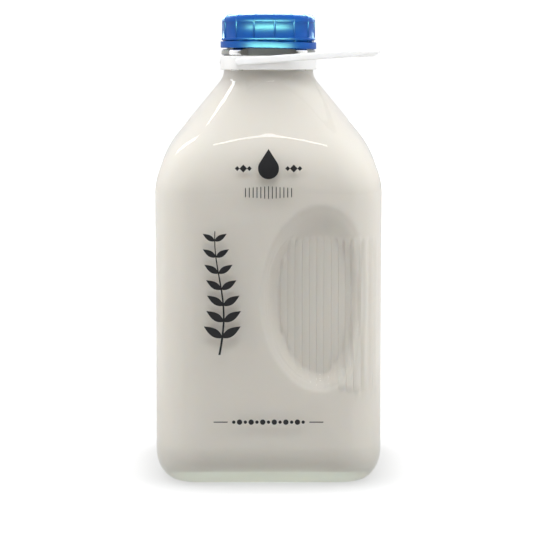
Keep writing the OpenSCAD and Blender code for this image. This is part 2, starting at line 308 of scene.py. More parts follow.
def done(obj, body, slot, *nodes):
    """Attaches a finished piece to the body it rides on and hides the frame's pieces that it stands for. The
    slot is not used.
    """
    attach(obj, body)
    if nodes:
        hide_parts(*nodes)
    return obj


# ---- Shape of the glass ---------------------------------------------------------------

class Shape:
    """The bottle's outline and sections, from the sizes in the panel."""

    def __init__(self):
        g = self.g = bpy.context.scene.mb_glass
        self.grip = bpy.context.scene.mb_grip
        self.corner_c = HALF_W - g.corner_r
        self.foot_r = g.neck_r + 0.3 * MM
        run = (HALF_W - g.shoulder_r + g.shoulder_r * math.cos(g.lean) - self.foot_r
               - g.fillet + g.fillet * math.cos(g.lean)) / math.sin(g.lean)
        self.neck_z = (g.shoulder_z + (g.shoulder_r + g.fillet) * math.sin(g.lean)
                       + run * math.cos(g.lean))

    def round_share(self, outer_w):
        """How round the section is: 0 on the square body, 1 at the neck."""
        u = np.clip((HALF_W - outer_w) / (HALF_W - self.foot_r), 0, 1)
        return u ** self.g.rounding

    def shoulder(self, inset, arc_steps, lean_steps, fillet_steps):
        """Rings (half width, height, corner centre, round share) up the shoulder."""
        g = self.g
        reach, hollow = g.shoulder_r - inset, g.fillet + inset
        start = np.array([HALF_W - g.shoulder_r, g.shoulder_z])
        end = np.array([self.foot_r + g.fillet, self.neck_z])
        out = np.array([math.cos(g.lean), math.sin(g.lean)])
        rings = []

        def ring(p, outer_w):
            rings.append((p[0], p[1], self.corner_c * p[0] / (HALF_W - inset),
                          float(self.round_share(outer_w))))

        for t in np.linspace(0, g.lean, arc_steps + 1):
            d = np.array([math.cos(t), math.sin(t)])
            ring(start + reach * d, start[0] + g.shoulder_r * d[0])
        low, high = start + reach * out, end - hollow * out
        for k in np.linspace(0, 1, lean_steps + 1)[1:]:
            p = low + (high - low) * k
            ring(p, p[0] + inset * out[0])
        for t in np.linspace(g.lean, 0, fillet_steps + 1)[1:]:
            d = np.array([math.cos(t), math.sin(t)])
            ring(end - hollow * d, end[0] - g.fillet * d[0])
        return rings

    def heel(self, w, z, run, rise, steps):
        """Rings up a heel, from the floor to the straight wall."""
        return [(w - run * (1 - math.sin(t)), z + rise * (1 - math.cos(t)), self.corner_c, 0)
                for t in np.linspace(0, math.pi / 2, steps + 1)]

    def floor(self, w, z, crown, steps):
        """Rings that close a floor, innermost first."""
        ks = np.linspace(0, 1, steps + 2)[1:-1]
        return [(w * k, z + crown * (1 - k * k), self.corner_c * k, 0) for k in ks]

    def hollow(self, x, z):
        """How deep the grip is at a place on the flat: 1 on its floor, 0 outside it."""
        g = self.grip
        dx, dz = x - g.x, z - g.z
        reach = np.where(dx < 0, g.reach_in, g.reach_out)
        level_x = reach * np.where(dx < 0, LEVEL_IN, LEVEL_OUT)
        level_z = g.half_h * np.where(dz < 0, LEVEL_DOWN, LEVEL_UP)
        edge = np.hypot(dx / reach, dz / g.half_h)
        level = np.hypot(dx / level_x, dz / level_z)
        slope = 1 - smooth((level - 1) * edge / np.maximum(level - edge, 1e-9))
        return np.where(edge >= 1, 0, np.where(level <= 1, 1, slope))

    def ribs(self, x, z):
        """Height of the upright ribs at a place, seen from the front."""
        g = self.grip
        first, top = g.x - 19.4 * MM, g.z + 28.8 * MM
        half_h, reach = 44 * MM, g.reach_in * 0.71
        fade_from, fade_to, bend_from, bend_pitch = 40 * MM, 52 * MM, 52 * MM, 2.6 * MM
        fade, slant, thinnest, bend_ribs = 0.45, 0.2, 0.45, 6.2
        total = np.zeros(np.broadcast(x, z).shape)
        for k in range(g.ribs):
            middle = first + k * g.rib_pitch
            if middle > bend_from:  # round the corner the ribs stand closer
                middle += bend_pitch - g.rib_pitch
            t = min(1, max(0, (g.x - middle) / reach))
            h = half_h * math.sqrt(1 - t * t)
            low = g.z - h - slant * max(0, middle - g.x)
            high = min(top, g.z + h)
            past = max(0, (middle - self.corner_c) / g.rib_pitch / bend_ribs)
            narrow = max(thinnest, math.sqrt(max(0, 1 - past ** 2)))
            half = g.rib_w / 2
            dx = (x - middle) / narrow
            dz = np.maximum(0, np.maximum(low + half - z, z - (high - half)))
            d = np.hypot(dx, dz) / half
            height = g.rib_h * (1 - fade * smooth((middle - fade_from) / (fade_to - fade_from)))
            total = np.maximum(total, height * np.sqrt(np.maximum(0, 1 - d ** 3)))
        return total

    def place(self, columns, ring, inset, ribs):
        """The points of one ring. A column is (x share, y share, direction)."""
        w, z, c, m = ring
        cx, cy, a = columns[:, 0] * c, columns[:, 1] * c, columns[:, 2]
        r = w - c
        flat_x = cx + r * np.cos(a)
        lift = self.ribs(flat_x, z) if ribs else 0
        x = cx + (r + lift) * np.cos(a)
        y = cy + (r + lift) * np.sin(a)
        if m > 0:
            scale = 1 - m + m * w / np.hypot(x, y)
            x, y = x * scale, y * scale
        grip = self.grip
        k = 1 + 0.6 * inset / grip.half_h  # inside the wall the hollow is a little wider
        h = self.hollow(grip.x + (x - grip.x) / k, grip.z + (z - grip.z) / k)
        pressed = HALF_W - inset - grip.depth * h + lift
        side = np.sign(y)
        depth = np.abs(y)
        soft = 2.6 * MM  # rounds the line where the hollow meets the corner
        blend = np.clip(0.5 + 0.5 * (depth - pressed) / soft, 0, 1)
        met = depth + (pressed - depth) * blend - soft * blend * (1 - blend)
        weight = smooth(h * 6)
        y = side * (depth + (np.minimum(met, depth) - depth) * weight)
        return np.stack([x, y, np.full_like(x, z)], axis=-1)


def half_columns(shape, fine, coarse):
    """Columns from the middle of the left flat, round the front, to the middle of the right one."""
    c, r = shape.corner_c, shape.g.corner_r
    grip_from = shape.grip.x - shape.grip.reach_in - 2 * MM
    turn = math.pi / 180
    out = [(-1, s, math.pi) for s in np.linspace(0, -1, coarse)[:-1]]
    out += [(-1, -1, a * turn) for a in np.linspace(180, 270, 2 * coarse + 1)]
    out += [(s / c, -1, 1.5 * math.pi) for s in np.linspace(-c, grip_from, coarse + 1)[1:]]
    count = round((c - grip_from) / fine)
    out += [(s / c, -1, 1.5 * math.pi) for s in np.linspace(grip_from, c, count + 1)[1:]]
    count = round(r * 68 * turn / fine)
    out += [(1, -1, a * turn) for a in np.linspace(270, 338, count + 1)[1:]]
    out += [(1, -1, a * turn) for a in np.linspace(338, 360, coarse // 2 + 1)[1:]]
    out += [(1, s, 2 * math.pi) for s in np.linspace(-1, 0, coarse)[1:]]
    return np.array(out)


def all_round(half):
    """The whole way round: the back is the front's mirror image."""
    back = half[-2:0:-1].copy()
    back[:, 1] *= -1
    back[:, 2] = 2 * math.pi - back[:, 2]
    return np.concatenate([half, back])


def finish_outline(shape):
    """Outline (radius, height) of the neck, the glass ring, the finish and the lip."""
    g = shape.g
    bead_z = COLLAR_HIGH.z + 0.3 * MM
    bead_r = g.neck_r + g.bead_out
    finish_r = g.neck_r - 1.4 * MM
    edge = 1 * MM
    soft = g.bead_h / 3
    points = [(shape.foot_r, shape.neck_z + 0.05 * MM), (g.neck_r, shape.neck_z + 0.3 * MM),
              (g.neck_r, shape.neck_z + 3 * MM), (g.neck_r, bead_z - 0.6 * MM)]
    points += arc((g.neck_r + 0.6 * MM, bead_z - 0.6 * MM), 0.6 * MM, 180, 90, 3)[1:]
    points += arc((bead_r - soft, bead_z + soft), soft, -90, 20, 6)
    points += arc((bead_r - 1.5 * soft, bead_z + 1.5 * soft), 1.5 * soft, 20, 90, 6)
    points += [(finish_r + 0.4 * MM, bead_z + g.bead_h), (finish_r, bead_z + g.bead_h + 0.3 * MM)]
    points += [(finish_r, LIP_Z - 6 * MM)]
    points += arc((finish_r - 0.2 * MM, LIP_Z - 5 * MM), 0.8 * MM, -75, 75, 6)
    points += [(finish_r, LIP_Z - 3.5 * MM)]
    points += arc((finish_r - edge, LIP_Z - edge), edge, 0, 90, 4)
    points += arc((g.mouth_r + edge, LIP_Z - edge), edge, 90, 180, 4)
    points += [(g.mouth_r, LIP_Z - 12 * MM), (g.mouth_r, shape.neck_z + 3 * MM)]
    return points


def grip_levels(shape, spacing, margin):
    """Evenly spaced heights across the grip and a margin past both of its ends."""
    low, high = shape.grip.z - shape.grip.half_h - margin, shape.grip.z + shape.grip.half_h + margin
    return np.linspace(low, high, round((high - low) / spacing) + 1)


def body_rings(shape, w, low, high, spacing, margin):
    """Rings up the straight walls, close together across the grip."""
    levels = grip_levels(shape, spacing, margin)
    levels = levels[(levels > low + 1 * MM) & (levels < high - 0.5 * MM)]
    below = np.linspace(low, levels[0], 7)[1:-1]
    above = np.linspace(levels[-1], high, 3)[1:-1]
    return [(w, z, shape.corner_c, 0) for z in [*below, *levels, *above]]


def glass_mesh(shape):
    """Vertices and faces of the bottle: one closed wall from base to lip and back inside."""
    g = shape.g
    columns = all_round(half_columns(shape, 0.5 * MM, 8))
    n = len(columns)
    stand = HALF_W - g.heel_in
    under = shape.floor(stand - g.stand_ring, 0, g.push_up, 10)
    ring_c = shape.corner_c - g.stand_ring
    outer = [(w, z, c * ring_c / shape.corner_c, m) for w, z, c, m in under]
    outer += [(stand - g.stand_ring, 0.12 * MM, ring_c, 0),
              (stand - g.stand_ring + 0.7 * MM, 0, ring_c + 0.7 * MM, 0)]
    outer += shape.heel(HALF_W, 0, g.heel_in, g.heel_rise, 16)
    outer += body_rings(shape, HALF_W, g.heel_rise, g.shoulder_z, 0.9 * MM, 1 * MM)
    outer += shape.shoulder(0, 28, 12, 12)
    points = [shape.place(columns, ring, 0, ring[2] >= shape.corner_c and ring[3] == 0)
              for ring in outer]
    vertices = np.concatenate([[[0, 0, g.push_up]], *points])
    faces = fan_faces(0, range(1, n + 1), flip=True)
    faces += grid_faces(len(outer), n, first=1)
    # Neck, lip and inside, with fewer columns.
    inner_columns = all_round(half_columns(shape, 1.5 * MM, 8))
    k = len(inner_columns)
    finish = [(r, z, shape.corner_c, 1) for r, z in finish_outline(shape)]
    run, rise, crown = g.heel_in * HEEL_IN, g.heel_rise * HEEL_RISE, g.push_up * CROWN
    inner_w = HALF_W - g.wall
    inner = shape.floor(inner_w - run, g.base_t, crown, 8)
    inner += shape.heel(inner_w, g.base_t, run, rise, 10)
    inner += body_rings(shape, inner_w, g.base_t + rise, g.shoulder_z, 2.4 * MM, 3 * MM)
    inner += shape.shoulder(g.wall, 16, 8, 8)
    down = [shape.place(inner_columns, ring, 0, False) for ring in finish]
    down += [shape.place(inner_columns, ring, g.wall, False) for ring in inner[::-1]]
    first = len(vertices)
    vertices = np.concatenate([vertices, *down, [[0, 0, g.base_t + crown]]])
    outer_top = list(range(1 + (len(outer) - 1) * n, 1 + len(outer) * n))
    faces += zip_faces(vertices, outer_top, list(range(first, first + k)))
    faces += grid_faces(len(down), k, first=first)
    last = list(range(first + (len(down) - 1) * k, first + len(down) * k))
    faces += fan_faces(len(vertices) - 1, last)
    return vertices, faces


def milk_mesh(shape):
    """The milk: the inside of the glass, a little way into the wall, up to its surface."""
    g = shape.g
    s = bpy.context.scene.mb_milk
    reach, level = s.reach, s.level
    wall, low = g.wall - reach, g.base_t - reach
    run, rise, crown = g.heel_in * HEEL_IN, g.heel_rise * HEEL_RISE, g.push_up * CROWN
    columns = all_round(half_columns(shape, 0.5 * MM, 8))
    n = len(columns)
    rings = shape.floor(HALF_W - wall - run, low, crown, 8)
    rings += shape.heel(HALF_W - wall, low, run, rise, 14)
    rings += body_rings(shape, HALF_W - wall, g.base_t + rise, g.shoulder_z, 1.6 * MM, 3 * MM)
    rings += shape.shoulder(wall, 20, 12, 14)
    # Above its surface a film of milk clings to the bore.
    bore, film = g.mouth_r, level + s.film
    top = [(bore + reach, shape.neck_z + 3 * MM), (bore + reach, film), (bore - 0.2 * MM, film),
           (bore - 0.3 * MM, level + 0.3 * MM), (bore + reach - 1.2 * MM, level - 0.2 * MM),
           (bore + reach - 3.5 * MM, level - 0.4 * MM)]
    rings += [(w, z, shape.corner_c, 1) for w, z in top]
    points = [shape.place(columns, ring, wall, ring[2] >= shape.corner_c and ring[3] == 0) for ring in rings]
    vertices = np.concatenate([[[0, 0, low + crown]], *points, [[0, 0, level - 0.4 * MM]]])
    faces = fan_faces(0, range(1, n + 1), flip=True)
    faces += grid_faces(len(rings), n, first=1)
    faces += fan_faces(len(vertices) - 1, list(range(1 + (len(rings) - 1) * n, 1 + len(rings) * n)))
    return vertices, faces


# ---- Materials ------------------------------------------------------------------------

def node(tree, kind, inputs=(), **settings):
    """A new node with its settings. Each input takes a value, or a link from another node's output."""
    made = tree.nodes.new(kind)
    for name, value in settings.items():
        setattr(made, name, value)
    for name, value in dict(inputs).items():
        if isinstance(value, bpy.types.NodeSocket):
            tree.links.new(value, made.inputs[name])
        else:
            made.inputs[name].default_value = value
    return made


def calc(tree, operation, *values):
    """The result of a math node on values, each a number or an output."""
    return node(tree, "ShaderNodeMath", enumerate(values), operation=operation).outputs[0]


def ramp(tree, value, from_min, from_max, to_min, to_max):
    """A clamped soft ramp from one range to another."""
    ends = {"From Min": from_min, "From Max": from_max, "To Min": to_min, "To Max": to_max}
    return node(tree, "ShaderNodeMapRange", {"Value": value, **ends},
                interpolation_type="SMOOTHSTEP").outputs[0]


def blank_material(name):
    """A new material and its empty node tree."""
    material = bpy.data.materials.new(name)
    material.use_nodes = True
    material.node_tree.nodes.clear()
    return material, material.node_tree


def surface_group():
    """Shared effect: soft mottling of a colour, with a matching roughness and height."""
    name = "soft_surface"
    if name in bpy.data.node_groups:
        return bpy.data.node_groups[name]
    group = bpy.data.node_groups.new(name, "ShaderNodeTree")
    face = group.interface
    face.new_socket("Color", in_out="INPUT", socket_type="NodeSocketColor")
    for label in ("Mottle", "Scale", "Roughness", "Spread", "Fine"):
        face.new_socket(label, in_out="INPUT", socket_type="NodeSocketFloat")
    for label, kind in (("Color", "Color"), ("Roughness", "Float"), ("Height", "Float")):
        face.new_socket(label, in_out="OUTPUT", socket_type="NodeSocket" + kind)
    given = group.nodes.new("NodeGroupInput").outputs
    where = node(group, "ShaderNodeTexCoord").outputs["Object"]

    def noise(label, detail):
        inputs = {"Vector": where, "Scale": given[label], "Detail": detail}
        return node(group, "ShaderNodeTexNoise", inputs).outputs["Fac"]

    broad, fine = noise("Scale", 3), noise("Fine", 2)
    darkest = calc(group, "SUBTRACT", 1, given["Mottle"])
    level = node(group, "ShaderNodeMapRange", {
        "Value": broad, "From Min": 0.3, "From Max": 0.7, "To Min": darkest}).outputs[0]
    tone = node(group, "ShaderNodeVectorMath", {0: given["Color"], "Scale": level}, operation="SCALE")
    rough = calc(group, "MULTIPLY_ADD", fine, given["Spread"], given["Roughness"])
    node(group, "NodeGroupOutput", {"Color": tone.outputs[0], "Roughness": rough, "Height": fine})
    return group


def surfaced(name, colour, bump, finish, **effect):
    """A new material whose Principled shader takes its colour, roughness and bump from the shared
    effect. The bump is (strength, distance), and the finish holds the shader's other inputs."""
    material, tree = blank_material(name)
    values = {label.capitalize(): value for label, value in effect.items()}
    values["Color"] = (*colour, 1)
    effect_out = node(tree, "ShaderNodeGroup", values, node_tree=surface_group()).outputs
    raised = node(tree, "ShaderNodeBump", {
        "Strength": bump[0], "Distance": bump[1], "Height": effect_out["Height"]})
    shader = node(tree, "ShaderNodeBsdfPrincipled", {
        "Base Color": effect_out["Color"], "Roughness": effect_out["Roughness"],
        "Normal": raised.outputs["Normal"], **finish})
    node(tree, "ShaderNodeOutputMaterial", {"Surface": shader.outputs[0]})
    return material


def inner_glow(weight, radius, scale):
    """Inputs of a shader that lets light a little way in."""
    return {"Subsurface Weight": weight, "Subsurface Radius": radius, "Subsurface Scale": scale}


def glass_material():
    """Clear glass with a faint green cast, slightly uneven, which lets lamplight through."""
    material = surfaced("bottle_glass", bpy.context.scene.mb_glass.tint, (0.12, 0.0002),
                        {"IOR": 1.5, "Transmission Weight": 1},
                        mottle=0.01, scale=25, roughness=0.0, spread=0.02, fine=28)
    tree = material.node_tree
    solid = tree.nodes["Principled BSDF"].outputs[0]
    clear = node(tree, "ShaderNodeBsdfTransparent", {"Color": (0.95, 0.965, 0.955, 1)}).outputs[0]
    shadow = node(tree, "ShaderNodeLightPath").outputs["Is Shadow Ray"]
    mix = node(tree, "ShaderNodeMixShader", {0: shadow, 1: solid, 2: clear})
    tree.links.new(mix.outputs[0], tree.nodes["Material Output"].inputs["Surface"])
    return material


def milk_material():
    """Opaque milk: soft, creamy, with no shine of its own against the glass."""
    finish = {"Specular IOR Level": 0.05, **inner_glow(0.35, (1.0, 0.8, 0.6), 0.005)}
    return surfaced("milk_liquid", bpy.context.scene.mb_milk.colour, (0.05, 0.0002), finish,
                    mottle=0.02, scale=12, roughness=0.45, spread=0.05, fine=40)


def cap_material():
    """Moulded blue plastic with a satin gloss."""
    finish = {"Specular IOR Level": 0.12, **inner_glow(0.08, (0.2, 0.6, 1), 0.001)}
    return surfaced("cap_blue", bpy.context.scene.mb_cap.colour, (0.12, 0.0001), finish,
                    mottle=0.12, scale=120, roughness=0.34, spread=0.12, fine=1500)


def white_plastic(name, colour, glow):
    """Natural white plastic that lets a little light in."""
    return surfaced(name, colour, (0.1, 0.0001), inner_glow(glow, (1, 0.95, 0.85), 0.002),
                    mottle=0.05, scale=90, roughness=0.38, spread=0.1, fine=1200)


def ink_material():
    """Fired ceramic ink: dark, with a faint unevenness."""
    return surfaced("printed_ink", bpy.context.scene.mb_print.ink, (0.15, 0.00005), {},
                    mottle=0.35, scale=300, roughness=0.35, spread=0.2, fine=2500)


# ---- Geometry Nodes helpers -----------------------------------------------------------

def grown(name, tree, base, values):
    """Runs a tree on a base object and returns its result as a plain mesh object."""
    modifier = base.modifiers.new(name, "NODES")
    modifier.node_group = tree
    for item in tree.interface.items_tree:
        if item.in_out == "INPUT" and item.name in values:
            modifier[item.identifier] = values[item.name]
    bpy.context.view_layer.update()
    depsgraph = bpy.context.evaluated_depsgraph_get()
    mesh = bpy.data.meshes.new_from_object(base.evaluated_get(depsgraph))
    base.modifiers.remove(modifier)
    bpy.data.objects.remove(base)
    mesh.name = name
    return placed(name, mesh)


def ring_tree(name):
    """A tree that repeats its geometry round the upright axis."""
    tree = bpy.data.node_groups.new(name, "GeometryNodeTree")
    face = tree.interface
    inputs = {"Geometry": "Geometry", "Count": "Int", "Start": "Float", "Material": "Material"}
    for label, kind in inputs.items():
        face.new_socket(label, in_out="INPUT", socket_type="NodeSocket" + kind)
    face.new_socket("Geometry", in_out="OUTPUT", socket_type="NodeSocketGeometry")
    given = tree.nodes.new("NodeGroupInput").outputs
    points = node(tree, "GeometryNodePoints", {"Count": given["Count"]})
    index = node(tree, "GeometryNodeInputIndex").outputs[0]
    share = calc(tree, "DIVIDE", index, given["Count"])
    turn = calc(tree, "MULTIPLY_ADD", share, 2 * math.pi, given["Start"])
    direction = node(tree, "ShaderNodeCombineXYZ", {"Z": turn})
    copies = node(tree, "GeometryNodeInstanceOnPoints", {
        "Points": points.outputs[0], "Instance": given["Geometry"], "Rotation": direction.outputs[0]})
    real = node(tree, "GeometryNodeRealizeInstances", {0: copies.outputs[0]})
    painted = node(tree, "GeometryNodeSetMaterial", {0: real.outputs[0], "Material": given["Material"]})
    node(tree, "NodeGroupOutput", {0: painted.outputs[0]})
    return tree


# ---- Cap ------------------------------------------------------------------------------

def cap_plan():
    """The cap's sizes, with the radius, the foot and the top of its skirt."""
    s = bpy.context.scene.mb_cap
    foot = CAP_LOW.z + s.band_h + s.band_gap + 0.35 * MM
    return s, CAP_HIGH.x - s.band_out, foot, CAP_HIGH.z - 0.2 * MM


def cap_shell_mesh():
    """The cap: a skirt with a foot rim, a proud rounded top and a hollow inside."""
    s, radius, foot, top = cap_plan()
    wall, step, dish, hub = 1.3 * MM, 0.32 * MM, 0.25 * MM, 0.4 * MM
    inner, inside_top = radius - wall, LIP_Z + 0.02 * MM
    shelf, lip = top - s.top_round - 0.5 * MM, foot - 1.6 * MM
    profile = [(inner, lip), (inner + 0.3 * MM, lip), (inner + 0.3 * MM, foot - 0.05 * MM)]
    profile += [(inner + 0.4 * MM, foot)]
    profile += arc((radius + 0.2 * MM, foot + 0.35 * MM), 0.35 * MM, -90, 0, 4)
    profile += arc((radius + 0.25 * MM, foot + 0.9 * MM), 0.3 * MM, 0, 90, 4)
    profile += [(radius, foot + 1.35 * MM), (radius, shelf - 0.35 * MM)]
    profile += arc((radius + 0.02 * MM + step * 0.5, shelf), step * 0.5, -90, 0, 4)
    profile += arc((radius + step - s.top_round, top - s.top_round), s.top_round, 4, 84, 12)
    profile += [(radius * 0.80, top), (radius * 0.78, top - dish), (radius * 0.4, top - dish)]
    above = len(profile)
    profile += [(hub, top - dish), (hub, inside_top), (inner - 0.6 * MM, inside_top)]
    profile += [(inner, LIP_Z - 0.6 * MM)]
    n = CAP_SEGMENTS
    vertices, faces = lathe(profile, n)
    # The lathe leaves a tiny hole in the middle: its wall goes, and both of its ends get a fan.
    faces = faces[:above * n] + faces[(above + 1) * n:]
    base = len(vertices)
    vertices = np.concatenate([vertices, [[0, 0, top - dish], [0, 0, inside_top]]])
    faces += fan_faces(base, range(above * n, (above + 1) * n))
    faces += fan_faces(base + 1, range((above + 1) * n, (above + 2) * n), flip=True)
    return vertices, faces


def cap_rib_mesh():
    """One rib, from the foot rim up the skirt and over the rounded edge on to the top."""
    s, radius, foot, top = cap_plan()
    r = s.top_round
    line = [(radius, foot + 1.2 * MM), (radius, top - r - 0.4 * MM)]
    line += arc((radius - r, top - r), r, 0, 90, 10)
    line = np.array([*line, (line[-1][0] - 1.6 * MM, line[-1][1] - 0.02 * MM)])
    ahead = np.gradient(line, axis=0)
    normal = np.stack([ahead[:, 1], -ahead[:, 0]], axis=-1)
    normal /= np.linalg.norm(normal, axis=1)[:, None]
    section = [(-0.5, -0.8), (-0.5, 0.35), (-0.32, 0.85), (0, 1), (0.32, 0.85), (0.5, 0.35), (0.5, -0.8)]
    end_out = 0.18 * MM
    rings = []
    for k, (p, d) in enumerate(zip(line, normal)):
        tall = s.rib_out - (s.rib_out - end_out) * smooth(k / (len(line) - 1) * 1.6 - 0.6)
        rings.append([(p[0] + d[0] * h * tall, w * s.rib_w, p[1] + d[1] * h * tall) for w, h in section])
    return tube(rings)


def band_mesh():
    """The tamper band: a loose ring, a little askew, with an uneven torn upper edge."""
    s, skirt_r, _, _ = cap_plan()
    outer, inner = CAP_HIGH.x, skirt_r - 0.9 * MM
    low, high = CAP_LOW.z, CAP_LOW.z + s.band_h
    outline = ring_outline(inner, outer, low, high, 0.45 * MM, 4)
    vertices, faces = lathe(outline, CAP_SEGMENTS)
    turn = np.arctan2(vertices[:, 1], vertices[:, 0])
    share = (vertices[:, 2] - low) / (high - low)
    # Each wave is (turns round the ring, height, phase).
    waves = ((3, 0.16, 0.4), (7, 0.10, 1.9), (16, 0.05, 0.7))
    ripple = sum(h * MM * np.sin(k * turn + phase) for k, h, phase in waves)
    vertices[:, 2] += np.clip(share, 0, 1) * ripple
    vertices[:, 2] -= np.tan(s.band_tilt) * vertices[:, 0]
    return vertices, faces


def bridge_mesh():
    """One of the small bridges that hold the band to the cap, drawn thin in its middle."""
    s, skirt_r, _, _ = cap_plan()
    radius = skirt_r - 0.55 * MM
    low, high = CAP_LOW.z + s.band_h - 0.7 * MM, CAP_LOW.z + s.band_h + s.band_gap + 0.4 * MM
    rings = []
    for k in np.linspace(0, 1, 7):
        width = (0.55 - 0.28 * math.sin(math.pi * k)) * MM
        deep = (0.42 - 0.16 * math.sin(math.pi * k)) * MM
        z = low + (high - low) * k
        rings.append([(radius + deep * math.cos(a), width * math.sin(a) + 0.15 * MM * k, z)
                      for a in np.linspace(0, 2 * math.pi, 9)[:-1]])
    return tube(rings)


# ---- Collar and bail ------------------------------------------------------------------

def collar_mesh(shape):
    """The neck collar: a plain ring with rounded edges."""
    inner = shape.g.neck_r + 0.3 * MM
    outer = COLLAR_HIGH.x
    low, high = COLLAR_LOW.z, COLLAR_HIGH.z
    face = [(outer, low + 2 * MM), (outer, high - 2 * MM)]
    return lathe(ring_outline(inner, outer, low, high, 0.5 * MM, 5, face), 144)


def knob_mesh(centre, direction, outline, segments=32):
    """A turned knob: an outline of (radius, reach) round a line from centre along direction."""
    d, u = np.array(direction, float), np.array([0, 0, 1.0])
    v = np.cross(d, u)
    turn = np.arange(segments) * 2 * math.pi / segments
    circle = np.cos(turn)[:, None] * u + np.sin(turn)[:, None] * v
    return tube([np.array(centre) + d * reach + radius * circle for radius, reach in outline], flip=True)


def joined(parts):
    """Several (vertices, faces) as one."""
    vertices, faces, first = [], [], 0
    for v, f in parts:
        vertices.append(np.asarray(v))
        faces += [[i + first for i in face] for face in f]
        first += len(v)
    return np.concatenate(vertices), faces


def bail_route(s):
    """Points along one side of the bail, from its pivot to the middle of the bar: (along, across)."""
    length = bail_length(s)
    across = BAIL_HIGH.y - s.arm_t / 2
    r = s.corner - s.arm_t / 2
    end = length - s.bar_w / 2
    side = [(x, across) for x in np.linspace(0, end - r, 22)[:-1]]
    bend = arc((end - r, across - r), r, 90, 0, 16)
    bar = [(end, y) for y in np.linspace(across - r, 0, 8)[1:]]
    return np.array(side + bend + bar)


def bail_length(s):
    """Length of the bail from its pivots to the outer face of its bar."""
    return (BAIL_HIGH.x - PIVOT[0]) / math.cos(s.tilt) - s.bar_h / 2 * math.sin(s.tilt)


def bail_mesh(s):
    """The bail: flat arms with round ends, which thicken into a rounded finger bar."""
    half = bail_route(s)
    route = np.concatenate([half, half[-2::-1] * [1, -1]])
    ahead = np.gradient(route, axis=0)
    ahead /= np.linalg.norm(ahead, axis=1)[:, None]
    out = np.stack([-ahead[:, 1], ahead[:, 0]], axis=-1)
    arm = rounded_section(24, 4.0)
    bar = rounded_section(24, 1.35)
    # Each arm starts with a round end about its pivot.
    end = s.arm_h / 2 * np.sin(np.linspace(0.46, 0, 9) * math.pi)[:-1]
    across = route[0, 1]
    route = np.concatenate([[(-x, across) for x in end], route, [(-x, -across) for x in end[::-1]]])
    out = np.concatenate([np.repeat(out[:1], len(end), axis=0), out, np.repeat(out[-1:], len(end), axis=0)])
    root = np.sqrt(1 - np.clip(-route[:, 0] / (s.arm_h / 2), 0, 1) ** 2)
    swell = smooth((route[:, 0] - (bail_length(s) - 15 * MM)) / (9 * MM))
    rings = []
    for p, d, k, e in zip(route, out, swell, root):
        wide = s.arm_t + (s.bar_w - s.arm_t) * k
        tall = (s.arm_h + (s.bar_h - s.arm_h) * k) * e
        section = arm + (bar - arm) * k
        flat = p + d * (section[:, :1] * wide / 2)
        rings.append(np.column_stack([flat, section[:, 1] * tall / 2]))
    return tube(rings, flip=True)


def rounded_section(count, power):
    """A closed superellipse of unit half sizes: power 2 is an ellipse, more is squarer."""
    t = np.arange(count) * 2 * math.pi / count + math.pi / count
    c, s = np.cos(t), np.sin(t)
    return np.column_stack([np.sign(c) * np.abs(c) ** (2 / power), np.sign(s) * np.abs(s) ** (2 / power)])


# ---- Operators for the main pieces ----------------------------------------------------

class MB_OT_glass(bpy.types.Operator):
    """Make the glass bottle, with its grips, ring and lip"""

    bl_idname = "milk_bottle.glass"
    bl_label = "Glass bottle"

    def execute(self, context):
        vertices, faces = glass_mesh(Shape())
        done(new_object("glass_bottle", vertices, faces, glass_material()), "vessel", "glass", "bottle")
        return {"FINISHED"}


class MB_OT_milk(bpy.types.Operator):
    """Fill the bottle with milk"""

    bl_idname = "milk_bottle.milk"
    bl_label = "Milk"

    def execute(self, context):
        vertices, faces = milk_mesh(Shape())
        done(new_object("milk_fill", vertices, faces, milk_material()), "vessel", "milk", "milk")
        return {"FINISHED"}


class MB_OT_cap(bpy.types.Operator):
    """Make the cap, its ribs, the tamper band and its bridges"""

    bl_idname = "milk_bottle.cap"
    bl_label = "Cap"

    def execute(self, context):
        s = context.scene.mb_cap
        blue = cap_material()
        done(new_object("cap_shell", *cap_shell_mesh(), blue), "vessel", "cap_plastic", "cap")
        done(new_object("tamper_band", *band_mesh(), blue), "vessel", "cap_plastic")
        ring = ring_tree("round_the_cap")
        start = -math.pi / 2 + 2 * math.pi * 0.3 / s.panels
        shapes = (("cap_ribs", cap_rib_mesh(), start), ("band_bridges", bridge_mesh(), start * 0.97))
        for name, mesh, first in shapes:
            base = new_object(name + "_one", *mesh, blue)
            made = grown(name, ring, base, {"Count": s.panels, "Start": first, "Material": blue})
            done(made, "vessel", "cap_plastic")
        return {"FINISHED"}


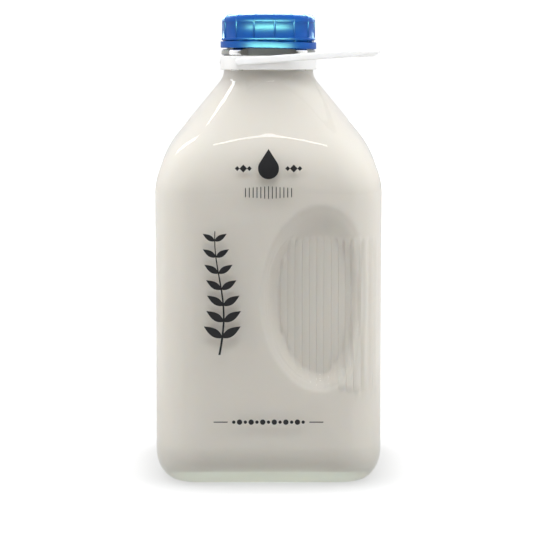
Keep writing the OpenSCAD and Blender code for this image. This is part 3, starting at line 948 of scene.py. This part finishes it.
class MB_OT_handle(bpy.types.Operator):
    """Make the neck collar and the carrying bail"""

    bl_idname = "milk_bottle.handle"
    bl_label = "Collar and bail"

    def execute(self, context):
        s = context.scene.mb_handle
        shape = Shape()
        arm_in = BAIL_HIGH.y - s.arm_t
        boss_r = s.arm_h / 2 + 0.15 * MM
        parts = [collar_mesh(shape)]
        for side in (-1, 1):
            start = COLLAR_HIGH.x * 0.75
            face, tip = arm_in - 0.3 * MM, arm_in + s.arm_t * 0.75
            boss, stud = face - start, tip - start
            outline = [(boss_r, 0), (boss_r, boss - 0.3 * MM), (boss_r - 0.3 * MM, boss),
                       (s.stud_r, boss), (s.stud_r, stud - 0.2 * MM), (s.stud_r * 0.8, stud)]
            parts.append(knob_mesh((PIVOT[0], side * start, PIVOT[2]), (0, side, 0), outline))
        # A small nub stands on the collar's side away from the bail.
        parts.append(knob_mesh((-COLLAR_HIGH.x + 0.4 * MM, 0, PIVOT[2] - 0.4 * MM), (-1, 0, 0),
                               [(0.9 * MM, 0), (0.8 * MM, 0.5 * MM), (0.45 * MM, 0.75 * MM)], 16))
        soft = white_plastic("collar_white", tuple(s.collar_colour), 0.45)
        done(new_object("neck_collar", *joined(parts), soft), "collar", "collar_plastic", "collar")

        vertices, faces = bail_mesh(s)
        c, t = math.cos(s.tilt), math.sin(s.tilt)
        turned = np.column_stack([PIVOT[0] + vertices[:, 0] * c - vertices[:, 2] * t, vertices[:, 1],
                                  PIVOT[2] + vertices[:, 0] * t + vertices[:, 2] * c])
        bright = white_plastic("bail_white", tuple(s.bail_colour), 0.3)
        done(new_object("carrying_bail", turned, faces, bright), "bail", "bail_plastic", "bail")
        return {"FINISHED"}


# ---- Printed marks --------------------------------------------------------------------

def face_point(shape, x, z, out):
    """A point of the front face at a place, lifted off the glass by a distance."""
    g = shape.g
    t = math.asin(min(1, max(0, (z - g.shoulder_z) / g.shoulder_r)))
    w = HALF_W - g.shoulder_r + g.shoulder_r * math.cos(t)
    m = float(shape.round_share(w))
    y = w * (1 - m + m * w / math.hypot(x, w))
    return (x, -y - out * math.cos(t), z + out * math.sin(t))


def mark(shape, outline, thickness, step=0.7 * MM):
    """A thin film of ink from an outline of (across, up) that any level crosses once or not at all."""
    ring = np.array(outline)
    after = np.roll(ring, -1, axis=0)
    low, high = ring[:, 1].min(), ring[:, 1].max()
    levels = np.union1d(np.linspace(low, high, max(2, round((high - low) / step)) + 1), np.unique(ring[:, 1]))
    sections = []
    for z in levels:
        ends = []
        for (x0, z0), (x1, z1) in zip(ring, after):
            if min(z0, z1) <= z <= max(z0, z1):
                ends += [x0, x1] if z0 == z1 else [x0 + (x1 - x0) * (z - z0) / (z1 - z0)]
        sections.append((min(ends), max(ends) + 1e-6, z))
    inner, outer = -0.02 * MM, thickness
    rings = []
    for left, right, z in sections:
        corners = ((left, inner), (left, outer), (right, outer), (right, inner))
        rings.append([face_point(shape, x, z, out) for x, out in corners])
    return tube(rings)


def bar_outline(x, z, width, height):
    """A rectangle round a middle."""
    w, h = width / 2, height / 2
    return [(x - w, z - h), (x + w, z - h), (x + w, z + h), (x - w, z + h)]


def leaf_outline(length, width, steps=12):
    """A pointed leaf that grows from the origin along +X."""
    t = np.linspace(0, 1, steps + 1)
    upper = [(length * k, width / 2 * math.sin(math.pi * k ** 0.8)) for k in t]
    lower = [(x, -z) for x, z in upper[-2:0:-1]]
    return upper + lower


def turned_outline(outline, x, z, angle, scale):
    """An outline scaled, turned and moved to a place."""
    c, s = math.cos(angle) * scale, math.sin(angle) * scale
    return [(x + c * u - s * v, z + s * u + c * v) for u, v in outline]


class MB_OT_marks(bpy.types.Operator):
    """Print plain marks on the front: a drop, a sprig and a ruled row of dots"""

    bl_idname = "milk_bottle.marks"
    bl_label = "Printed marks"

    def execute(self, context):
        s = context.scene.mb_print
        shape = Shape()
        outlines = self.emblem() + self.sprig(s.leaf_pairs) + self.row(s.dots)
        parts = [mark(shape, outline, s.ink_t) for outline in outlines]
        marks = new_object("printed_marks", *joined(parts), ink_material(), smooth=False)
        done(marks, "vessel", "glass")
        return {"FINISHED"}

    def emblem(self):
        """A drop between small diamonds, over a row of strokes."""
        middle = 160 * MM
        out = [[(0, 169.5 * MM)] + arc((0, middle), 5.2 * MM, 35, -215, 28)]
        for side in (-1, 1):
            for x, size in ((9.5, 1.2), (12.5, 1.9), (15.5, 1.2)):
                corners = ((1, 0), (0, 1), (-1, 0), (0, -1))
                out.append([(side * x * MM + size * u * MM, middle + size * v * MM) for u, v in corners])
        for k in range(-6, 7):
            out.append(bar_outline(k * 1.9 * MM, 148.2 * MM, 0.44 * MM, (6.2 - 0.28 * abs(k)) * MM))
        return out

    def sprig(self, pairs):
        """An upright sprig: a bent stem with leaves on both sides."""
        low, high, middle, bend = 67 * MM, 129 * MM, -24.5 * MM, 2.2 * MM

        def stem(k):
            return middle + bend * math.sin(math.pi * 1.6 * k), low + (high - low) * k

        shares = np.linspace(0, 1, 40)
        wide = [0.55 * MM * (1 - 0.6 * k) for k in shares]
        right = [(stem(k)[0] + w, stem(k)[1]) for k, w in zip(shares, wide)]
        left = [(stem(k)[0] - w, stem(k)[1]) for k, w in zip(shares, wide)]
        out = [right + left[::-1]]
        leaf = leaf_outline(11 * MM, 4.2 * MM)
        for k in np.linspace(0.14, 0.92, pairs):
            for angle in (math.radians(32), math.radians(148)):
                out.append(turned_outline(leaf, *stem(k), angle, 1.05 - 0.45 * k))
        return out

    def row(self, dots):
        """A row of dots between two short rules."""
        z = 33 * MM
        out = [bar_outline(side * 24 * MM, z, 7 * MM, 0.5 * MM) for side in (-1, 1)]
        for k in range(dots):
            x = (k - (dots - 1) / 2) * 2.9 * MM
            out.append([(x + u, z + v) for u, v in arc((0, 0), (1.35 if k % 2 else 0.85) * MM, 0, 345, 23)])
        return out


# ---- Stage ----------------------------------------------------------------------------

def area_light(name, place, aim, size, power, colour=(1, 1, 1), soft=True, shine=True):
    """A rectangular lamp aimed at a point; it lights surfaces, shows in reflections, or both."""
    lamp = bpy.data.lights.new(name, "AREA")
    lamp.shape = "RECTANGLE"
    lamp.size, lamp.size_y = size
    lamp.energy = power
    lamp.color = colour
    obj = placed(name, lamp)
    obj.location = place
    obj.rotation_euler = (Vector(aim) - Vector(place)).to_track_quat("-Z", "Y").to_euler()
    obj.visible_camera = False
    obj.visible_transmission = False
    obj.visible_diffuse = soft
    obj.visible_glossy = shine
    return obj


def floor_material():
    """Pale floor that takes a soft shadow from the lamps; its glow holds a painted shadow round the foot and
    fades to white with the distance, and to every other ray it glows with painted bounce light, stronger and
    green under the base.
    """
    material, tree = blank_material("pale_floor")
    place = node(tree, "ShaderNodeTexCoord").outputs["Object"]
    x, y, _ = node(tree, "ShaderNodeSeparateXYZ", {0: place}).outputs
    far = node(tree, "ShaderNodeVectorMath", {0: place}, operation="LENGTH").outputs["Value"]
    # Distance measured round a square with soft corners, as the bottle's foot is.
    fourths = [calc(tree, "POWER", calc(tree, "ABSOLUTE", axis), 4) for axis in (x, y)]
    near = calc(tree, "POWER", calc(tree, "ADD", *fourths), 0.25)
    # The camera sees one brightness, and every other ray another. The glow the camera sees is dimmer round
    # the foot: a painted shadow.
    seen = calc(tree, "ADD", ramp(tree, near, 0.048, 0.092, 0.44, 0.76), ramp(tree, far, 0.1, 0.5, 0, 0.5))
    # Painted bounce light: to every other ray the floor glows, evenly close to the foot and farther out
    # following the studio's brightness.
    studio_for_painted_bounce = brightness(tree, calc(tree, "DIVIDE", x, far), calc(tree, "DIVIDE", y, far), 0)
    lit = calc(tree, "MULTIPLY_ADD", studio_for_painted_bounce, ramp(tree, far, 0.15, 0.5, 0, 0.8),
               ramp(tree, far, 0.15, 0.5, 0.4, -0.05))
    # Painted light: under the base the glow that other rays see is stronger.
    under = ramp(tree, near, 0.044, 0.05, 1, 0)
    painted_bounce_glow = calc(tree, "MULTIPLY_ADD", under, 0.8, lit)
    camera_ray = node(tree, "ShaderNodeLightPath").outputs["Is Camera Ray"]
    strength = node(tree, "ShaderNodeMix", {0: camera_ray, 2: painted_bounce_glow, 3: seen}).outputs[0]
    # Under the base the floor's glow is green: painted light standing in for the light that comes back
    # through the glass.
    white, green = (1, 1, 1, 1), (0.9, 1, 0.94, 1)
    cast = node(tree, "ShaderNodeMix", {0: under, 6: white, 7: green}, data_type="RGBA").outputs[2]
    shader = node(tree, "ShaderNodeBsdfPrincipled", {
        "Base Color": (0.33, 0.33, 0.33, 1), "Roughness": 0.7, "Specular IOR Level": 0.1,
        "Emission Color": cast, "Emission Strength": strength})
    node(tree, "ShaderNodeOutputMaterial", {"Surface": shader.outputs[0]})
    return material


def brightness(tree, x, y, z):
    """Brightness of the studio in a direction: bright behind, above and at the sides, dim in front."""
    side = calc(tree, "MULTIPLY", calc(tree, "POWER", calc(tree, "ABSOLUTE", x), 2.5), 0.5)
    back = ramp(tree, y, -0.3, 0.4, 0, 0.7)
    top = calc(tree, "MULTIPLY", calc(tree, "POWER", calc(tree, "MAXIMUM", z, 0.0), 2.0), 0.65)
    return calc(tree, "ADD", calc(tree, "ADD", side, back), calc(tree, "ADD", top, 0.1))


def studio_world(scene):
    """White to the camera; as light, bright behind, above and at the sides, dim in front."""
    world = bpy.data.worlds.new("studio")
    scene.world = world
    world.use_nodes = True
    tree = world.node_tree
    tree.nodes.clear()
    where = node(tree, "ShaderNodeTexCoord").outputs["Generated"]
    x, y, z = node(tree, "ShaderNodeSeparateXYZ", {0: where}).outputs

    def background(strength):
        return node(tree, "ShaderNodeBackground", {"Color": (1, 1, 1, 1), "Strength": strength}).outputs[0]

    around, behind = background(brightness(tree, x, y, z)), background(1.05)
    camera_ray = node(tree, "ShaderNodeLightPath").outputs["Is Camera Ray"]
    mix = node(tree, "ShaderNodeMixShader", {0: camera_ray, 1: around, 2: behind})
    node(tree, "ShaderNodeOutputWorld", {"Surface": mix.outputs[0]})


def light_only(lamp, names):
    """Lets a lamp reach only the pieces with these names."""
    lit = bpy.data.collections.new("lit_by_" + lamp.name)
    for obj in bpy.data.objects:
        if obj.name.startswith(names):
            lit.objects.link(obj)
    lamp.light_linking.receiver_collection = lit


class MB_OT_stage(bpy.types.Operator):
    """Set the floor, the lights, the world and the camera"""

    bl_idname = "milk_bottle.stage"
    bl_label = "Stage"

    def execute(self, context):
        s = context.scene.mb_stage
        scene = context.scene
        n, z = 96, -0.2 * MM  # the floor lies just under the base
        turn = np.linspace(0, 2 * math.pi, n + 1)[:-1]
        rings = [np.column_stack([r * np.cos(turn), r * np.sin(turn), np.full(n, z)]) for r in (6, 0.6)]
        vertices = np.concatenate([*rings, [[0, 0, z]]])
        faces = grid_faces(2, n) + fan_faces(2 * n, range(n, 2 * n))
        new_object("floor", vertices, faces, floor_material())
        area_light("top_lamp", (0, 0.05, 1.2), (0, 0, 0), (0.8, 0.8), 4.8, shine=False)
        area_light("upper_lamp", (0, -0.7, 1.0), (0, 0, 0.18), (0.5, 0.4), 3.5, (0.96, 0.985, 1), shine=False)
        area_light("right_lamp", (0.8, -0.6, 0.7), (0, 0, 0.1), (0.3, 0.3), 0.7, shine=False)
        area_light("left_lamp", (-0.8, -0.6, 0.7), (0, 0, 0.1), (0.3, 0.3), 0.7, shine=False)
        for side in (-1, 1):
            place = (side * 0.15, -0.1, 0.1)
            area_light("edge_lamp", place, (0, -0.05, 0.1), (0.03, 0.3), 0.06, shine=False)
        area_light("arc_strip", (0, -0.312, 1.2), (0, -0.05, 0.18), (0.5, 0.045), 0.42, soft=False)
        area_light("ridge_strip", (-0.7, 0.5, 1.0), (0, 0, 0.19), (0.08, 0.4), 0.7, soft=False)
        rim = area_light("rim_lamp", (0, 0.9, 0.6), (0, 0, 0.23), (1.0, 0.6), 32, (0.6, 1, 1), soft=False)
        light_only(rim, ("cap_",))
        fill = area_light("handle_lamp", (0, -0.9, 0.5), (0, 0, 0.21), (0.4, 0.3), 1.6, shine=False)
        light_only(fill, ("neck_collar", "carrying_bail"))
        glow = area_light("cap_lamp", (0, -0.5, 0.145), (0, 0, 0.22), (1.2, 0.19), 125, (0.34, 1, 0.62),
                          soft=False)
        light_only(glow, ("cap_", "tamper_", "band_"))
        studio_world(scene)
        scene.view_settings.view_transform = "Standard"
        camera = bpy.data.cameras.new("camera")
        camera.lens = s.lens
        camera.sensor_width = 36
        camera.clip_start = 0.05
        obj = placed("camera", camera)
        obj.location = (s.aside, -s.distance, s.eye)
        obj.rotation_euler = (math.pi / 2 - s.down, 0, 0)
        scene.camera = obj
        return {"FINISHED"}


# ---- Panel and registration -----------------------------------------------------------

class MB_PT_panel(bpy.types.Panel):
    """Lists the bottle's sizes and steps in the sidebar"""

    bl_idname = "MB_PT_panel"
    bl_label = "Milk bottle"
    bl_space_type = "VIEW_3D"
    bl_region_type = "UI"
    bl_category = "Milk bottle"

    def draw(self, context):
        for operator in OPERATORS:
            self.layout.operator(operator.bl_idname)
        for name, group in GROUPS.items():
            box = self.layout.box()
            box.label(text=group.__doc__)
            for key in group.__annotations__:
                box.prop(getattr(context.scene, name), key)


OPERATORS = (MB_OT_glass, MB_OT_milk, MB_OT_cap, MB_OT_handle, MB_OT_marks, MB_OT_stage)
CLASSES = (*GROUPS.values(), *OPERATORS, MB_PT_panel)


def register():
    """Registers the classes and hangs the sizes on the scene."""
    for cls in CLASSES:
        bpy.utils.register_class(cls)
    for name, group in GROUPS.items():
        setattr(bpy.types.Scene, name, PointerProperty(type=group))


def unregister():
    """Undoes register."""
    for name in GROUPS:
        delattr(bpy.types.Scene, name)
    for cls in reversed(CLASSES):
        bpy.utils.unregister_class(cls)


def main():
    register()
    bpy.ops.milk_bottle.glass()
    bpy.ops.milk_bottle.milk()
    bpy.ops.milk_bottle.cap()
    bpy.ops.milk_bottle.handle()
    bpy.ops.milk_bottle.marks()
    bpy.ops.milk_bottle.stage()


if __name__ == "__main__":
    main()
